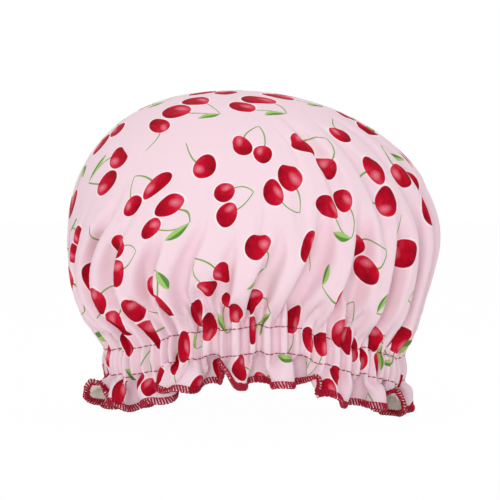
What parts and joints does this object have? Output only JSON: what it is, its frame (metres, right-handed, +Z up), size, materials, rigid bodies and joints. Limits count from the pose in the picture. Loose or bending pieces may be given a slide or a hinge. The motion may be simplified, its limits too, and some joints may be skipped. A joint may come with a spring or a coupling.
{
  "type": "shower cap",
  "caption": "Puffed bath cap of printed cotton with a waterproof lining, drawn in by an elastic in a stitched channel above an overlocked frill.",
  "frame": {"origin": "on the floor under the middle of the cap's box, with the cap standing on its frill", "axes": "+X along the width, to the wearer's left when the cap's front faces -Y; +Z up through the crown"},
  "size_m": [0.271, 0.256, 0.2324],
  "materials": {
    "printed_cotton": "plain-weave cotton, pale pink with a printed cherry pattern",
    "lining_film": "soft off-white waterproof film",
    "braided_elastic": "white braided elastic",
    "sewing_thread": "dark red polyester sewing thread",
    "overlock_thread": "dark red overlocking thread"
  },
  "bodies": {
    "root": {"outer_cover": "printed_cotton", "waterproof_lining": "lining_film", "elastic_band": "braided_elastic", "elastic_join_tack": "sewing_thread", "upper_needle_thread": "sewing_thread", "upper_bobbin_thread": "sewing_thread", "lower_needle_thread": "sewing_thread", "lower_bobbin_thread": "sewing_thread", "overlock_edge": "overlock_thread"}
  },
  "joints": []
}
